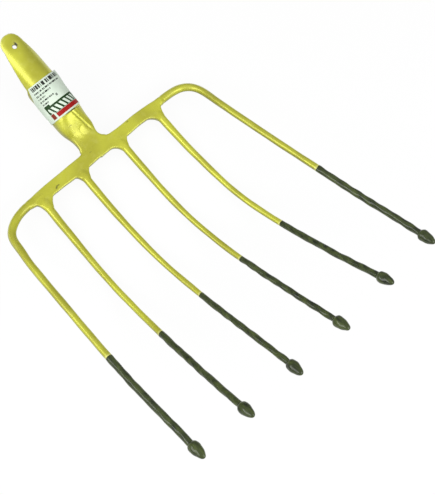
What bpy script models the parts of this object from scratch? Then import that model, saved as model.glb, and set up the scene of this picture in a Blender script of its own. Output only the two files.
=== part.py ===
# The steel head of a six-tined ensilage fork, lying face up on its four dished tines.
# Lengths are in metres and angles in degrees.

import math

import bmesh
import bpy
from mathutils import Matrix, Vector

# Running gap left between pieces that touch
SEAT_GAP = 0.0003

# The level fork frame: y runs from the crossbar to the tips, z points up out of the dished face
HEAD_SLOPE = 22.0            # fall of the socket, crossbar and tine roots towards the tips
HEAD_HEIGHT = -0.0050        # height of the crossbar's middle plane, where y is 0
TIP_REACH = 0.3507           # from the crossbar's middle line to the ends of the buds

# Crossbar, in its own sloping frame
BAR_BACK = 0.0074            # from the middle line to the back edge, at the neck
BAR_BACK_END = 0.0062        # and at the outer stubs
BAR_FRONT = 0.0073           # from the middle line to the front edge, at the neck
BAR_FRONT_END = 0.0068       # and at the plate's ends
BAR_THICKNESS = 0.0072
BAR_EDGE_ROUND = 0.0012
BAR_PLATE_END = 0.1000       # half length of the flat plate inside the round arms
STUB_END = 0.0170            # how far the round stubs stand in front of the middle line
ARM_END = 0.1040             # half length to the ends of the round arms
ARM_OFFSET = 0.0003          # the arms' centre line, in front of the middle line
NECK_END = 0.0145            # back face of the neck, behind the middle line
NECK_HALF_WIDTH = 0.0140
NECK_FILLET = 0.0060

# Webs between the crossbar's front edge and each stub, wider on the side towards the middle
WEB_INNER_FOOT = 0.0135
WEB_OUTER_FOOT = 0.0085
WEB_WAIST = 0.0064
WEB_HEIGHT = 0.0035
STUB_CORE_HALF = 0.0034      # half width of the flat plate inside a round stub
CORE_CORNER = 0.0016         # corner radius of the plate inside the stubs and arms

# The four dished tines
INNER_ROOT_X = 0.0297
INNER_TIP_X = 0.0347
MIDDLE_ROOT_X = 0.0860
MIDDLE_TIP_X = 0.1020
DISHED_BOW = -0.0013         # sideways bow between root and tip, towards the middle
ROOT_STRAIGHT = 0.0300       # from the stub to the start of the bend
BEND_RADIUS = 0.270
BEND_STEP = 2.4              # angle between neighbouring stations of the bend
INNER_BEND_STEPS = 15
MIDDLE_BEND_STEPS = 17
REST_STEP = 3                # the station of the bend where the head rests on the ground
DISHED_ROOT_RADIUS = 0.0048
DISHED_TIP_RADIUS = 0.0033
DISHED_TAPER = 0.065         # length over which most of the taper happens

# The two outer tines, which turn forwards in a round corner and stay nearly straight
OUTER_ROOT_X = 0.1418
OUTER_TIP_X = 0.1650
CORNER_RADIUS = 0.028
CORNER_STEPS = 9
OUTER_BOW = 0.0027           # sideways bow between corner and tip, away from the middle
OUTER_RISE = 0.0028          # rise through the corner, from the arm to the level run
OUTER_RISE_LENGTH = 0.060
OUTER_LIFT_START = 0.154     # where the outer third begins to curve up
OUTER_LIFT_LENGTH = 0.110
OUTER_LIFT_RADIUS = 0.900
OUTER_STATIONS = 16
OUTER_ROOT_RADIUS = 0.0050
OUTER_TIP_RADIUS = 0.0036
OUTER_TAPER = 0.085

# Dark paint on the outer part of each tine, measured back from the end of its bud
DIP_LENGTH = 0.135

# Buds on the tips
BUD_LENGTH = 0.0205
BUD_RADIUS = 0.0065
BUD_WIDEST = 0.0065          # from the neck ring to the widest place
BUD_RING_STEP = 0.0004       # how far the neck ring stands proud of the tine
BUD_NOSE_RADIUS = 0.0011
BUD_STATIONS = 9

# Socket: neck, shoulder, rolled cone and tongue, along the axis behind the middle line
SOCKET_AXIS_HEIGHT = 0.0047  # of the socket's axis over the crossbar's middle plane
SHOULDER_START = 0.0180
SHOULDER_END = 0.0520
FLARE_END = 0.0380           # where the quick part of the shoulder's flare ends
FLARE_SHARE = 0.55           # how much of the widening the quick part takes
AXIS_START = 0.0300          # where the section's middle starts to rise to the socket's axis
CONE_BASE_RADIUS = 0.0196    # outer radius where the shoulder ends
CONE_MOUTH_RADIUS = 0.0200   # outer radius of the cone carried on to the tongue's end
SOCKET_WALL = 0.0025
SEAT_DEPTH = 0.0500          # flat floor that the handle's end butts on
WING_TOP = 0.0815            # where the wings' free edges leave the seam
WING_SHOULDER = 0.1055       # where the wings pass into the tongue
SEAM_WIDTH = 0.0050
SEAM_START = 0.0535
TONGUE_ROOT_HALF_WIDTH = 0.0189
TONGUE_NOSE_HALF_WIDTH = 0.0130
TONGUE_END = 0.1612
TONGUE_NOSE_LENGTH = 0.0140
TONGUE_NOSE_POWER = 2.3      # 2 is an ellipse, more is blunter
NAIL_HOLE_RADIUS = 0.00275
NAIL_HOLE_STATION = 0.1459   # Paper label round the cone
LABEL_START = 0.0536
LABEL_END = 0.1020
LABEL_THICKNESS = 0.00025
LABEL_START_ANGLES = (-112.0, 105.0)
LABEL_END_ANGLES = (-95.0, 64.0)

# Facets round the socket, the tines, the stubs and the buds
SOCKET_SIDES = 44
TINE_RESOLUTION = 4
ROUND_SIDES = 12

LACQUER = (0.478, 0.456, 0.045, 1.0)
DARK_PAINT = (0.058, 0.080, 0.036, 1.0)
PAPER = (0.760, 0.830, 0.730, 1.0)

SIDES = (("right", 1), ("left", -1))


def clear_scene():
    for old in list(bpy.data.objects):
        bpy.data.objects.remove(old, do_unlink=True)


def new_collection(name):
    made = bpy.data.collections.new(name)
    bpy.context.scene.collection.children.link(made)
    return made


def new_material(name, colour, roughness, metallic):
    made = bpy.data.materials.new(name)
    made.use_nodes = True
    shader = made.node_tree.nodes["Principled BSDF"]
    shader.inputs["Base Color"].default_value = colour
    shader.inputs["Roughness"].default_value = roughness
    shader.inputs["Metallic"].default_value = metallic
    made.diffuse_color = colour
    return made


def new_object(name, data, collection, parent, place=None, materials=()):
    made = bpy.data.objects.new(name, data)
    collection.objects.link(made)
    made.parent = parent
    if place is not None:
        made.matrix_local = place
    for material in materials:
        data.materials.append(material)
    return made


def new_frame(name, collection, parent, place):
    made = new_object(name, None, collection, parent, place)
    made.empty_display_size = 0.05
    return made


def hide_helper(helper):
    helper.hide_render = True
    helper.display_type = "WIRE"
    return helper


def shade_round(mesh, angle=35.0):
    mesh.shade_smooth()
    mesh.set_sharp_from_angle(angle=math.radians(angle))


def add_boolean(piece, helper, operation):
    modifier = piece.modifiers.new(f"{operation.lower()} {helper.name}", "BOOLEAN")
    modifier.operation = operation
    modifier.solver = "EXACT"
    modifier.object = helper


def blend(low, high, share):
    return low + (high - low) * share


def smooth_share(value, start, end):
    """0 before start, 1 after end, and a smooth ramp between them."""
    share = min(max((value - start) / (end - start), 0.0), 1.0)
    return share * share * (3.0 - 2.0 * share)


def rounded_outline(corners):
    """Points of a closed outline whose (x, y, radius) corners are replaced by arcs."""
    points = []
    count = len(corners)
    for index, (x, y, radius) in enumerate(corners):
        here = Vector((x, y))
        before = (Vector(corners[index - 1][:2]) - here).normalized()
        after = (Vector(corners[(index + 1) % count][:2]) - here).normalized()
        half = before.angle(after) / 2.0
        if radius == 0.0 or half > math.radians(89.0):
            points.append(here)
            continue
        centre = here + (before + after).normalized() * (radius / math.sin(half))
        first = here + before * (radius / math.tan(half)) - centre
        last = here + after * (radius / math.tan(half)) - centre
        turn = first.angle_signed(last)
        steps = max(2, math.ceil(abs(math.degrees(turn)) / 22.0))
        for step in range(steps + 1):
            points.append(centre + Matrix.Rotation(-turn * step / steps, 2) @ first)
    return points


def mesh_from_curve(curve_object, weld=1e-6, flat_angle=0.001):
    """Replaces a curve object by a closed mesh in the same place, its flat areas one face each."""
    bpy.context.view_layer.update()
    graph = bpy.context.evaluated_depsgraph_get()
    mesh = bpy.data.meshes.new_from_object(curve_object.evaluated_get(graph))
    shape = bmesh.new()
    shape.from_mesh(mesh)
    bmesh.ops.remove_doubles(shape, verts=shape.verts, dist=weld)
    bmesh.ops.dissolve_limit(
        shape, angle_limit=flat_angle, verts=shape.verts, edges=shape.edges, delimit={"NORMAL"}
    )
    bmesh.ops.recalc_face_normals(shape, faces=shape.faces)
    shape.to_mesh(mesh)
    shape.free()
    name = curve_object.name
    made = bpy.data.objects.new(name, mesh)
    for collection in curve_object.users_collection:
        collection.objects.link(made)
    made.parent = curve_object.parent
    made.matrix_local = curve_object.matrix_local
    bpy.data.objects.remove(curve_object, do_unlink=True)
    made.name = name
    return made


def extruded(name, outline, thickness, edge_round, collection, parent, place=None):
    """A flat outline in the local xy plane given a thickness, with rounded edges."""
    data = bpy.data.curves.new(name, "CURVE")
    data.dimensions = "2D"
    data.fill_mode = "BOTH"
    data.extrude = thickness / 2.0 - edge_round
    data.bevel_depth = edge_round
    data.bevel_resolution = 1
    data.offset = -edge_round
    spline = data.splines.new("POLY")
    spline.points.add(len(outline) - 1)
    for point, (x, y) in zip(spline.points, outline):
        point.co = (x, y, 0.0, 1.0)
    spline.use_cyclic_u = True
    return mesh_from_curve(new_object(name, data, collection, parent, place))


def tube(name, stations, collection, parent):
    """A round bar along (x, y, z, radius) stations, with flat ends."""
    data = bpy.data.curves.new(name, "CURVE")
    data.dimensions = "3D"
    data.twist_mode = "Z_UP"
    data.bevel_depth = 1.0
    data.bevel_resolution = TINE_RESOLUTION
    data.use_fill_caps = True
    spline = data.splines.new("POLY")
    spline.points.add(len(stations) - 1)
    for point, (x, y, z, radius) in zip(spline.points, stations):
        point.co = (x, y, z, 1.0)
        point.radius = radius
    return mesh_from_curve(new_object(name, data, collection, parent))


def turned(name, profile, sides, collection, parent, place):
    """A (radius, height) profile, listed from the top down, turned round the local z axis."""
    mesh = bpy.data.meshes.new(name)
    edges = [(index, index + 1) for index in range(len(profile) - 1)]
    mesh.from_pydata([(radius, 0.0, height) for radius, height in profile], edges, [])
    made = new_object(name, mesh, collection, parent, place)
    screw = made.modifiers.new("turn", "SCREW")
    screw.axis = "Z"
    screw.steps = sides
    screw.render_steps = sides
    screw.use_merge_vertices = True
    screw.merge_threshold = 1e-5
    screw.use_smooth_shade = True
    return made


def along(start, direction):
    """Matrix that puts the local z axis on direction, with the origin at start."""
    turn = Vector((0.0, 0.0, 1.0)).rotation_difference(Vector(direction))
    return Matrix.Translation(start) @ turn.to_matrix().to_4x4()


def head_to_fork(back, height=0.0):
    """The (y, z) in the fork frame of a point behind the crossbar's middle line."""
    slope = math.radians(HEAD_SLOPE)
    y = -back * math.cos(slope) + height * math.sin(slope)
    z = HEAD_HEIGHT + back * math.sin(slope) + height * math.cos(slope)
    return y, z


def front_edge(x):
    """Distance of the crossbar's front edge from the middle line."""
    return blend(BAR_FRONT, BAR_FRONT_END, x / BAR_PLATE_END)


def stub_corners(x):
    """Corners of the crossbar's front edge round a stub at x, listed from its outer side."""
    waist = front_edge(x) + WEB_HEIGHT
    return [
        (x + WEB_OUTER_FOOT, front_edge(x + WEB_OUTER_FOOT), 0.0030),
        (x + WEB_WAIST, waist, 0.0030),
        (x + STUB_CORE_HALF, STUB_END - BAR_EDGE_ROUND, CORE_CORNER),
        (x - STUB_CORE_HALF, STUB_END - BAR_EDGE_ROUND, CORE_CORNER),
        (x - WEB_WAIST, waist, 0.0050),
        (x - WEB_INNER_FOOT, front_edge(x - WEB_INNER_FOOT), 0.0060),
    ]


def make_crossbar(parts, cutters, head, material):
    arm_core = OUTER_ROOT_RADIUS * 0.7
    half = [
        (NECK_HALF_WIDTH, -NECK_END, 0.0),
        (NECK_HALF_WIDTH, -BAR_BACK, NECK_FILLET),
        (MIDDLE_ROOT_X, -BAR_BACK_END, 0.020),
        (BAR_PLATE_END, ARM_OFFSET - arm_core, CORE_CORNER),
        (BAR_PLATE_END, ARM_OFFSET + arm_core, CORE_CORNER),
        *stub_corners(MIDDLE_ROOT_X),
        *stub_corners(INNER_ROOT_X),
    ]
    other_half = [(-x, y, radius) for x, y, radius in reversed(half)]
    bar = extruded(
        "crossbar", rounded_outline(half + other_half), BAR_THICKNESS, BAR_EDGE_ROUND, parts, head
    )
    bar.data.materials.append(material)
    for side, sign in SIDES:
        for place, x in (("inner", INNER_ROOT_X), ("middle", MIDDLE_ROOT_X)):
            profile = [
                (0.0, STUB_END),
                (DISHED_ROOT_RADIUS, STUB_END),
                (DISHED_ROOT_RADIUS * 1.02, STUB_END - 0.0035),
                (DISHED_ROOT_RADIUS * 0.92, BAR_FRONT),
                (DISHED_ROOT_RADIUS * 0.50, BAR_FRONT - 0.0055),
                (0.0, BAR_FRONT - 0.0065),
            ]
            stub = turned(
                f"stub_{place}_{side}", profile, ROUND_SIDES, cutters, head,
                along((sign * x, 0.0, 0.0), (0.0, 1.0, 0.0)),
            )
            add_boolean(bar, hide_helper(stub), "UNION")
        profile = [
            (0.0, ARM_END),
            (OUTER_ROOT_RADIUS, ARM_END),
            (OUTER_ROOT_RADIUS, BAR_PLATE_END - 0.0030),
            (OUTER_ROOT_RADIUS * 0.85, MIDDLE_ROOT_X + WEB_WAIST),
            (OUTER_ROOT_RADIUS * 0.40, MIDDLE_ROOT_X + STUB_CORE_HALF - 0.0010),
            (0.0, MIDDLE_ROOT_X + STUB_CORE_HALF - 0.0020),
        ]
        arm = turned(
            f"arm_{side}", profile, ROUND_SIDES, cutters, head,
            along((0.0, ARM_OFFSET, 0.0), (sign, 0.0, 0.0)),
        )
        add_boolean(bar, hide_helper(arm), "UNION")
    shade_round(bar.data)
    return bar


def dished_profile(bend_steps):
    """(y, z) stations of a dished tine in the side view: straight root, bend, straight tip."""
    y, z = head_to_fork(-STUB_END - SEAT_GAP)
    heading = math.radians(-HEAD_SLOPE)
    stations = [(y, z)]
    y += ROOT_STRAIGHT * math.cos(heading)
    z += ROOT_STRAIGHT * math.sin(heading)
    stations.append((y, z))
    centre_y = y - BEND_RADIUS * math.sin(heading)
    centre_z = z + BEND_RADIUS * math.cos(heading)
    for step in range(1, bend_steps + 1):
        heading = math.radians(-HEAD_SLOPE + BEND_STEP * step)
        y = centre_y + BEND_RADIUS * math.sin(heading)
        z = centre_z - BEND_RADIUS * math.cos(heading)
        stations.append((y, z))
    run = (TIP_REACH - y) / math.cos(heading) - BUD_LENGTH - SEAT_GAP
    for share in (0.35, 0.70, 1.0):
        stations.append((y + run * share * math.cos(heading), z + run * share * math.sin(heading)))
    return stations


def lengths_along(points):
    """Distance of each point from the first one, along the line through them."""
    total = [0.0]
    for before, after in zip(points, points[1:]):
        total.append(total[-1] + (Vector(after) - Vector(before)).length)
    return total


def tapered(points, root_radius, tip_radius, taper):
    """Adds to each (x, y, z) point a radius that falls quickly at the root, then slowly."""
    reached = lengths_along(points)
    radii = [blend(tip_radius, root_radius, math.exp(-length / taper)) for length in reached]
    return [(*point, radius) for point, radius in zip(points, radii)]


def dished_path(root_x, tip_x, bend_steps):
    stations = dished_profile(bend_steps)
    points = []
    for y, z in stations:
        share = (y - stations[0][0]) / (TIP_REACH - stations[0][0])
        x = blend(root_x, tip_x, share) + DISHED_BOW * 4.0 * share * (1.0 - share)
        points.append((x, y, z))
    return tapered(points, DISHED_ROOT_RADIUS, DISHED_TIP_RADIUS, DISHED_TAPER)


def outer_height(y, arm_height):
    """Height of an outer tine's centre line in the fork frame."""
    z = arm_height + OUTER_RISE * smooth_share(y, 0.0, OUTER_RISE_LENGTH)
    bent = min(max(y - OUTER_LIFT_START, 0.0), OUTER_LIFT_LENGTH)
    straight = max(y - OUTER_LIFT_START - OUTER_LIFT_LENGTH, 0.0)
    return z + bent * bent / (2.0 * OUTER_LIFT_RADIUS) + straight * OUTER_LIFT_LENGTH / OUTER_LIFT_RADIUS


def outer_path():
    arm_y, arm_z = head_to_fork(-ARM_OFFSET)
    run = TIP_REACH - arm_y - CORNER_RADIUS
    splay = math.atan2(OUTER_TIP_X - OUTER_ROOT_X + 4.0 * OUTER_BOW, run)
    plan = [(ARM_END + SEAT_GAP, arm_y)]
    centre_x = OUTER_ROOT_X - CORNER_RADIUS * (1.0 - math.sin(splay))
    centre_y = arm_y + CORNER_RADIUS
    turn = math.pi / 2.0 - splay
    for step in range(CORNER_STEPS + 1):
        heading = turn * step / CORNER_STEPS
        plan.append(
            (centre_x + CORNER_RADIUS * math.sin(heading), centre_y - CORNER_RADIUS * math.cos(heading))
        )
    corner_x, corner_y = plan[-1]
    rise = OUTER_LIFT_LENGTH / OUTER_LIFT_RADIUS
    last_y = TIP_REACH - (BUD_LENGTH + SEAT_GAP) / math.hypot(1.0, rise)
    for step in range(1, OUTER_STATIONS + 1):
        y = blend(corner_y, last_y, step / OUTER_STATIONS)
        share = (y - corner_y) / (TIP_REACH - corner_y)
        x = blend(corner_x, OUTER_TIP_X, share) + OUTER_BOW * 4.0 * share * (1.0 - share)
        plan.append((x, y))
    points = [(x, y, outer_height(y, arm_z)) for x, y in plan]
    return tapered(points, OUTER_ROOT_RADIUS, OUTER_TIP_RADIUS, OUTER_TAPER)


def mirrored(stations, sign):
    return [(sign * x, y, z, radius) for x, y, z, radius in stations]


def make_tine(name, stations, parts, fork, lacquer, dark):
    """A tine in two finishes: lacquer, then dark paint from the dip line to the tip."""
    tine = tube(name, stations, parts, fork)
    tine.data.materials.append(lacquer)
    tine.data.materials.append(dark)
    points = [station[:3] for station in stations]
    reached = lengths_along(points)
    dip = reached[-1] + SEAT_GAP + BUD_LENGTH - DIP_LENGTH
    for face in tine.data.polygons:
        nearest = min(range(len(points)), key=lambda k: (Vector(points[k]) - face.center).length)
        face.material_index = 1 if reached[nearest] > dip else 0
    shade_round(tine.data)
    return tine


def bud_profile(neck_radius):
    """(radius, height) points of a bud from its nose down to its flat seat."""
    profile = [(0.0, BUD_LENGTH), (BUD_NOSE_RADIUS, BUD_LENGTH - 0.0001)]
    length = BUD_LENGTH - BUD_WIDEST
    for step in range(BUD_STATIONS, -1, -1):
        share = math.sin(0.96 * math.pi / 2.0 * step / BUD_STATIONS)
        radius = BUD_RADIUS * (1.0 - share**1.9) ** 0.62
        profile.append((max(radius, BUD_NOSE_RADIUS * 1.3), BUD_WIDEST + length * share))
    ring = neck_radius + BUD_RING_STEP
    for share in (0.6, 0.2):
        radius = blend(ring, BUD_RADIUS, math.sqrt(1.0 - (1.0 - share) ** 2.6))
        profile.append((radius, BUD_WIDEST * share))
    profile.append((ring, 0.0))
    profile.append((0.0, 0.0))
    return profile


def make_bud(name, stations, parts, fork, dark):
    end = Vector(stations[-1][:3])
    direction = (end - Vector(stations[-2][:3])).normalized()
    profile = bud_profile(stations[-1][3])
    place = along(end + direction * SEAT_GAP, direction)
    bud = turned(name, profile, ROUND_SIDES, parts, fork, place)
    bud.data.materials.append(dark)
    return bud


def cone_radius(back):
    """Outer radius of the rolled cone at a distance behind the crossbar's middle line."""
    share = (back - SHOULDER_END) / (TONGUE_END - SHOULDER_END)
    return blend(CONE_BASE_RADIUS, CONE_MOUTH_RADIUS, share)


def socket_ring(back):
    """Cross-section of the socket's outer skin: flat at the neck, round past the shoulder."""
    share = smooth_share(back, SHOULDER_START, SHOULDER_END)
    flare = blend(share, smooth_share(back, SHOULDER_START, FLARE_END), FLARE_SHARE)
    half_width = blend(NECK_HALF_WIDTH, cone_radius(back), flare)
    half_height = blend(BAR_THICKNESS / 2.0, cone_radius(back), share)
    centre = SOCKET_AXIS_HEIGHT * smooth_share(back, AXIS_START, SHOULDER_END)
    power = blend(6.0, 2.0, math.sqrt(share))
    ring = []
    for side in range(SOCKET_SIDES):
        angle = 2.0 * math.pi * (side + 0.5) / SOCKET_SIDES
        across = math.copysign(abs(math.sin(angle)) ** (2.0 / power), math.sin(angle))
        up = math.copysign(abs(math.cos(angle)) ** (2.0 / power), math.cos(angle))
        ring.append((half_width * across, -back, centre + half_height * up))
    return ring


def lofted(name, rings, collection, parent):
    """A closed solid through rings of equally many points, each end closed by one face."""
    shape = bmesh.new()
    rows = [[shape.verts.new(point) for point in ring] for ring in rings]
    for row, after in zip(rows, rows[1:]):
        for side in range(len(row)):
            turn = (side + 1) % len(row)
            shape.faces.new((row[side], row[turn], after[turn], after[side]))
    shape.faces.new(rows[0])
    shape.faces.new(rows[-1])
    bmesh.ops.recalc_face_normals(shape, faces=shape.faces)
    mesh = bpy.data.meshes.new(name)
    shape.to_mesh(mesh)
    shape.free()
    return new_object(name, mesh, collection, parent)


def tongue_half_width(back):
    share = (back - WING_SHOULDER) / (TONGUE_END - TONGUE_NOSE_LENGTH - WING_SHOULDER)
    if share <= 1.0:
        return blend(TONGUE_ROOT_HALF_WIDTH, TONGUE_NOSE_HALF_WIDTH, share)
    into_nose = (back - (TONGUE_END - TONGUE_NOSE_LENGTH)) / TONGUE_NOSE_LENGTH
    rest = max(1.0 - into_nose**TONGUE_NOSE_POWER, 0.0)
    return TONGUE_NOSE_HALF_WIDTH * rest ** (1.0 / TONGUE_NOSE_POWER)


def edge_height(back):
    """Height over the socket's axis of the tongue's side edges."""
    radius = cone_radius(back)
    return math.sqrt(max(radius * radius - tongue_half_width(back) ** 2, 0.0))


def trim_outline():
    """Side view of what is cut away under the tongue and above the wings."""
    low = -2.0 * CONE_MOUTH_RADIUS
    radius = cone_radius(WING_TOP)
    wing_run = WING_SHOULDER - WING_TOP
    outline = [(WING_TOP - 0.15 * wing_run, low)]
    wing_steps = 7
    for step in range(wing_steps):
        share = step / wing_steps
        height = blend(-1.05 * radius, edge_height(WING_SHOULDER), math.sqrt(1.0 - (1.0 - share) ** 2))
        outline.append((WING_TOP + wing_run * share**1.3, height))
    tongue_steps = 4
    nose_start = TONGUE_END - TONGUE_NOSE_LENGTH
    for step in range(tongue_steps + 1):
        back = blend(WING_SHOULDER, nose_start, step / tongue_steps)
        outline.append((back, edge_height(back)))
    nose_steps = 8
    for step in range(1, nose_steps + 1):
        back = nose_start + TONGUE_NOSE_LENGTH * math.sin(math.pi / 2.0 * step / nose_steps)
        outline.append((back, edge_height(back)))
    beyond = TONGUE_END + SOCKET_WALL
    outline += [(TONGUE_END, 2.0 * CONE_MOUTH_RADIUS), (beyond, 2.0 * CONE_MOUTH_RADIUS), (beyond, low)]
    return outline


def make_socket(parts, cutters, head, material):
    shoulder_steps = 9
    stations = [NECK_END + SEAT_GAP]
    stations += [
        blend(SHOULDER_START, SHOULDER_END, step / shoulder_steps) for step in range(shoulder_steps + 1)
    ]
    stations += [blend(SHOULDER_END, TONGUE_END, share) for share in (0.35, 0.70, 1.0)]
    socket = lofted("socket", [socket_ring(back) for back in stations], parts, head)
    socket.data.materials.append(material)

    axis = along((0.0, 0.0, SOCKET_AXIS_HEIGHT), (0.0, -1.0, 0.0))
    beyond = TONGUE_END + SOCKET_WALL
    seat_radius = cone_radius(SEAT_DEPTH) - SOCKET_WALL * 1.15
    base_radius = cone_radius(SHOULDER_END) - SOCKET_WALL
    mouth_radius = cone_radius(beyond) - SOCKET_WALL
    profile = [
        (0.0, beyond),
        (mouth_radius, beyond),
        (base_radius, SHOULDER_END),
        (seat_radius, SEAT_DEPTH),
        (0.0, SEAT_DEPTH),
    ]
    bore = turned("handle_bore", profile, SOCKET_SIDES, cutters, head, axis)
    add_boolean(socket, hide_helper(bore), "DIFFERENCE")

    side_view = Matrix.Translation((0.0, 0.0, SOCKET_AXIS_HEIGHT)) @ Matrix(
        ((0, 0, 1, 0), (-1, 0, 0, 0), (0, 1, 0, 0), (0, 0, 0, 1))
    )
    trim = extruded(
        "tongue_trim", trim_outline(), 4.0 * CONE_MOUTH_RADIUS, 0.0, cutters, head, side_view
    )
    add_boolean(socket, hide_helper(trim), "DIFFERENCE")

    seam_length = WING_TOP + 0.5 * (WING_SHOULDER - WING_TOP) - SEAM_START
    seam_mesh = bpy.data.meshes.new("seam_cut")
    shape = bmesh.new()
    bmesh.ops.create_cube(
        shape,
        size=1.0,
        matrix=Matrix.Diagonal((SEAM_WIDTH, seam_length, 2.0 * CONE_MOUTH_RADIUS, 1.0)),
    )
    shape.to_mesh(seam_mesh)
    shape.free()
    seam_middle = (0.0, -SEAM_START - seam_length / 2.0, SOCKET_AXIS_HEIGHT - 1.5 * CONE_MOUTH_RADIUS)
    seam = new_object("seam_cut", seam_mesh, cutters, head, Matrix.Translation(seam_middle))
    add_boolean(socket, hide_helper(seam), "DIFFERENCE")

    hole_mesh = bpy.data.meshes.new("nail_hole")
    shape = bmesh.new()
    bmesh.ops.create_cone(
        shape,
        cap_ends=True,
        segments=ROUND_SIDES * 2,
        radius1=NAIL_HOLE_RADIUS,
        radius2=NAIL_HOLE_RADIUS,
        depth=2.0 * CONE_MOUTH_RADIUS,
    )
    shape.to_mesh(hole_mesh)
    shape.free()
    hole_middle = (0.0, -NAIL_HOLE_STATION, SOCKET_AXIS_HEIGHT + CONE_MOUTH_RADIUS)
    hole = new_object("nail_hole", hole_mesh, cutters, head, Matrix.Translation(hole_middle))
    add_boolean(socket, hide_helper(hole), "DIFFERENCE")
    shade_round(socket.data)
    return socket


def make_label(parts, head, material):
    """A sheet of paper wrapped over the cone, a seating gap clear of it."""
    rows, columns = 5, 26
    shape = bmesh.new()
    grid = []
    for row in range(rows + 1):
        share = row / rows
        back = blend(LABEL_START, LABEL_END, share)
        first = blend(LABEL_START_ANGLES[0], LABEL_END_ANGLES[0], share)
        last = blend(LABEL_START_ANGLES[1], LABEL_END_ANGLES[1], share)
        radius = cone_radius(back) + SEAT_GAP
        line = []
        for column in range(columns + 1):
            angle = math.radians(blend(first, last, column / columns))
            point = (radius * math.sin(angle), -back, SOCKET_AXIS_HEIGHT + radius * math.cos(angle))
            line.append(shape.verts.new(point))
        grid.append(line)
    for low, high in zip(grid, grid[1:]):
        for column in range(columns):
            shape.faces.new((low[column], high[column], high[column + 1], low[column + 1]))
    mesh = bpy.data.meshes.new("label")
    shape.to_mesh(mesh)
    shape.free()
    label = new_object("label", mesh, parts, head, None, [material])
    paper = label.modifiers.new("paper", "SOLIDIFY")
    paper.thickness = LABEL_THICKNESS
    paper.offset = 1.0
    shade_round(mesh)
    return label


def rest_pitch(stations):
    """Turn about x that lays the underside of one bend segment level on the ground."""
    lows = []
    for step in (REST_STEP, REST_STEP + 1):
        index = 1 + step
        _, y, z, radius = stations[index]
        before, after = stations[index - 1], stations[index + 1]
        heading = math.atan2(after[2] - before[2], after[1] - before[1])
        lows.append((y + radius * math.sin(heading), z - radius * math.cos(heading)))
    (y0, z0), (y1, z1) = lows
    return -math.atan2(z1 - z0, y1 - y0)


def centre_on_ground(fork, pieces):
    """Moves the fork frame so that the pieces stand on z 0 with their box centred over the origin."""
    bpy.context.view_layer.update()
    graph = bpy.context.evaluated_depsgraph_get()
    low = Vector((math.inf,) * 3)
    high = Vector((-math.inf,) * 3)
    for piece in pieces:
        shape = piece.evaluated_get(graph)
        mesh = shape.to_mesh()
        for vertex in mesh.vertices:
            place = piece.matrix_world @ vertex.co
            low = Vector(map(min, low, place))
            high = Vector(map(max, high, place))
        shape.to_mesh_clear()
    fork.location -= Vector(((low.x + high.x) / 2.0, (low.y + high.y) / 2.0, low.z))
    bpy.context.view_layer.update()


def main():
    clear_scene()
    parts = new_collection("ensilage_fork")
    cutters = new_collection("cutters")
    lacquer = new_material("gold lacquer", LACQUER, 0.28, 0.15)
    dark = new_material("dark dip paint", DARK_PAINT, 0.30, 0.0)
    paper = new_material("label paper", PAPER, 0.75, 0.0)

    dished = {
        "inner": dished_path(INNER_ROOT_X, INNER_TIP_X, INNER_BEND_STEPS),
        "middle": dished_path(MIDDLE_ROOT_X, MIDDLE_TIP_X, MIDDLE_BEND_STEPS),
    }
    lie = Matrix.Rotation(rest_pitch(dished["inner"]), 4, "X")
    fork = new_frame("fork_frame", parts, None, lie)
    slope = Matrix.Translation((0.0, 0.0, HEAD_HEIGHT)) @ Matrix.Rotation(
        math.radians(-HEAD_SLOPE), 4, "X"
    )
    head = new_frame("head_frame", parts, fork, slope)

    pieces = [
        make_crossbar(parts, cutters, head, lacquer),
        make_socket(parts, cutters, head, lacquer),
        make_label(parts, head, paper),
    ]
    for place, stations in (*dished.items(), ("outer", outer_path())):
        for side, sign in SIDES:
            path = mirrored(stations, sign)
            pieces.append(make_tine(f"tine_{place}_{side}", path, parts, fork, lacquer, dark))
            pieces.append(make_bud(f"bud_{place}_{side}", path, parts, fork, dark))
    centre_on_ground(fork, pieces)


main()
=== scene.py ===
import math

import bmesh
import bpy
import numpy as np
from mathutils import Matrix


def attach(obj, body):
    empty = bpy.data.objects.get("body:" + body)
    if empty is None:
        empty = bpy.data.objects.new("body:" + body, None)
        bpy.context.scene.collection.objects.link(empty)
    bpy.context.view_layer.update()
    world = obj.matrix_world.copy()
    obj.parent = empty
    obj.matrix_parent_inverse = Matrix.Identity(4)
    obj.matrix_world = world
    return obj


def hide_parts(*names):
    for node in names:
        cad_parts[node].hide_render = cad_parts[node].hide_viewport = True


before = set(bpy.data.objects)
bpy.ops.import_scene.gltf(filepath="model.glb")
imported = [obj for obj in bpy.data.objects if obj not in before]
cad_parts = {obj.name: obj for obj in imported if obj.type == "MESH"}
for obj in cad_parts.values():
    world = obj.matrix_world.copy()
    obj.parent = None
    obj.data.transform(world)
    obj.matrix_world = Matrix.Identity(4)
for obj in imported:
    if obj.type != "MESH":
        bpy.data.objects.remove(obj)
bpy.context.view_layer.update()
print("frame loaded")

# How the fork lies in the frame. Millimetres and degrees.
lie = {
    "pitch": 13.152,  # turn of the whole head about x
    "shift": (0.0, -93.84, 19.1),
    "headSlope": 22.0,  # fall of the socket and crossbar towards the tips
    "headHeight": -5.0,
    "behind": np.array([1, -1, 1]),  # the head's own places are measured backwards
}


def turned(points, degrees):
    # about x: y' = y cos a - z sin a, z' = y sin a + z cos a
    turn = math.radians(degrees)
    x, y, z = np.moveaxis(np.asarray(points, float), -1, 0)
    return np.stack([x, y * math.cos(turn) - z * math.sin(turn), y * math.sin(turn) + z * math.cos(turn)], -1)


def forkToRow(points):
    # from the level fork frame in millimetres to the model's own, in metres
    return (turned(points, lie["pitch"]) + lie["shift"]) / 1000.0


def headToRow(points):
    # columns are x, distance behind the crossbar's middle line, height over its middle plane
    return forkToRow(turned(points * lie["behind"], -lie["headSlope"]) + (0, 0, lie["headHeight"]))


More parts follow.
